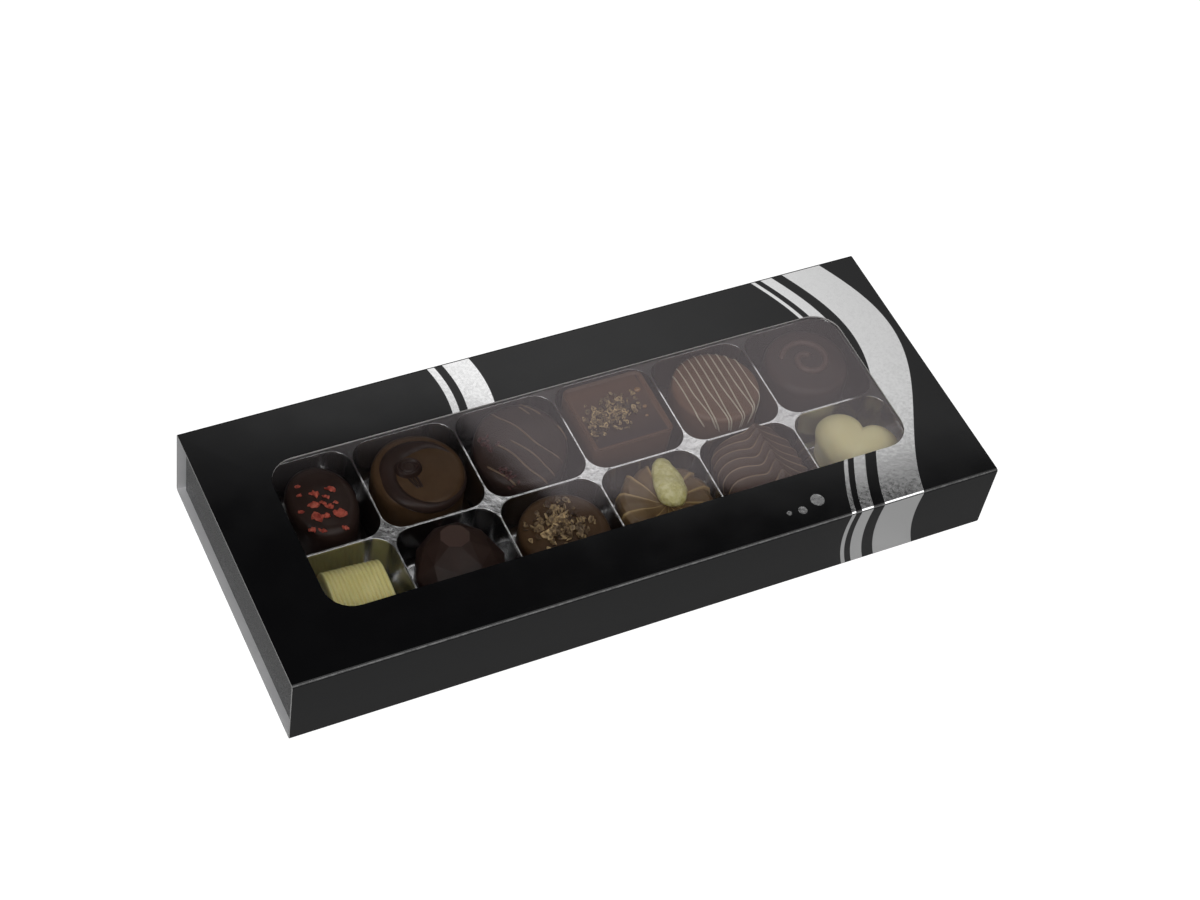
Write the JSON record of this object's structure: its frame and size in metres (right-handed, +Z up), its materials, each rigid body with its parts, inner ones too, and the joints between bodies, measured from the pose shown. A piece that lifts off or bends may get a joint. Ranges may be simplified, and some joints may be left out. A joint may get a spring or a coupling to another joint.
{
  "type": "box of chocolate pralines",
  "caption": "Flat black card sleeve with a film window and a sliding tray, its silver liner holding assorted dark, milk and white chocolate pralines in cells.",
  "frame": {"origin": "middle of the underside of the box", "axes": "+X along the box, the way the tray slides, +Y to the back edge, +Z up through the window"},
  "size_m": [0.24, 0.099, 0.0275],
  "materials": {
    "black_card": "glossy laminated black outside, pale grey inside",
    "clear_film": "clear glossy film",
    "grey_card": "satin dark grey",
    "silver_liner": "mirror-like metallised silver",
    "dark_chocolate": "satin dark chocolate",
    "milk_chocolate": "satin milk chocolate",
    "white_chocolate": "satin ivory white chocolate",
    "almond": "semi-matte blanched almond",
    "raspberry_flakes": "matt dried fruit, coral red",
    "cocoa_nibs": "matt tan and brown chips",
    "cream_drizzle": "satin cream strands",
    "silver_foil": "bright hot-stamped silver"
  },
  "bodies": {
    "sleeve": {"sleeve": "black_card", "window_film": "clear_film"},
    "tray": {"tray": "grey_card", "liner": "silver_liner", "raspberry_oval": "dark_chocolate", "comma_disc": "milk_chocolate", "drizzled_oval": "dark_chocolate", "nib_square": "milk_chocolate", "striped_disc": "milk_chocolate", "curl_disc": "dark_chocolate", "ribbed_loaf": "white_chocolate", "gem": "dark_chocolate", "nib_dome": "milk_chocolate", "rosette": "milk_chocolate", "almond": "almond", "ribbed_peak": "milk_chocolate", "heart": "white_chocolate"}
  },
  "joints": [
    {"name": "tray_slide", "type": "slide", "parent": "sleeve", "child": "tray", "axis": [1, 0, 0], "range_m": [-0.24, 0.24]}
  ]
}
